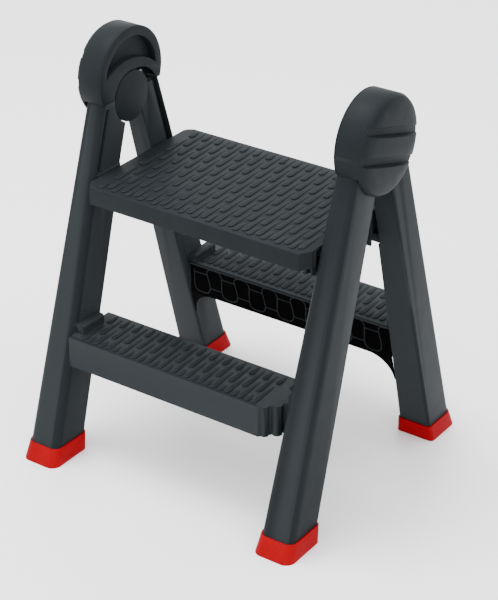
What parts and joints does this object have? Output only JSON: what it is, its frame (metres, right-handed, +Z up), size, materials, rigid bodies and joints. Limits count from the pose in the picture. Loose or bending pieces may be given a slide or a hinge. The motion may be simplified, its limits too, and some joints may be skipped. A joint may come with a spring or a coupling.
{
  "type": "folding step stool",
  "caption": "Folding step stool: two hollow frames hinged on round hubs, a lower tread in each frame and a top tread that swings up as it folds.",
  "frame": {"origin": "middle of the footprint on the floor plane", "axes": "+Z up, X along the width between the hubs, front (the side first stepped on) towards -Y"},
  "size_m": [0.515, 0.4842, 0.65],
  "materials": {
    "body_grey": "fine matte moulded texture",
    "web_black": "matte",
    "foot_red": "matte",
    "pin_steel": "drawn",
    "bush_white": "smooth"
  },
  "bodies": {
    "front_section": {"front_frame": "body_grey", "front_step_web": "web_black", "front_foot_left": "foot_red", "hub_shell_left": "body_grey", "hub_cover_left": "body_grey", "hub_axle_left": "pin_steel", "hub_ring_left": "pin_steel", "hub_screws_left": "pin_steel", "step_pin_left": "pin_steel", "front_foot_right": "foot_red", "hub_shell_right": "body_grey", "hub_cover_right": "body_grey", "hub_axle_right": "pin_steel", "hub_ring_right": "pin_steel", "hub_screws_right": "pin_steel", "step_pin_right": "pin_steel"},
    "rear_section": {"rear_frame": "body_grey", "rear_step_web": "web_black", "rear_foot_left": "foot_red", "hub_bush_left": "bush_white", "pivot_cap_left": "body_grey", "rear_foot_right": "foot_red", "hub_bush_right": "bush_white", "pivot_cap_right": "body_grey"},
    "top_tread": {"top_step": "body_grey", "top_step_web": "web_black", "step_bush_left": "bush_white", "step_bush_right": "bush_white"}
  },
  "joints": [
    {"name": "rear_frame_fold", "type": "hinge", "parent": "front_section", "child": "rear_section", "pos_m": [0, 0.0037, 0.54], "axis": [1, 0, 0], "range_deg": [-32, 0]},
    {"name": "top_step_fold", "type": "hinge", "parent": "front_section", "child": "top_tread", "pos_m": [0, -0.0703, 0.428], "axis": [1, 0, 0], "range_deg": [0, 70.4]}
  ],
  "couplings": [
    {"joint": "top_step_fold", "follows": "rear_frame_fold", "ratio": -2.2}
  ]
}
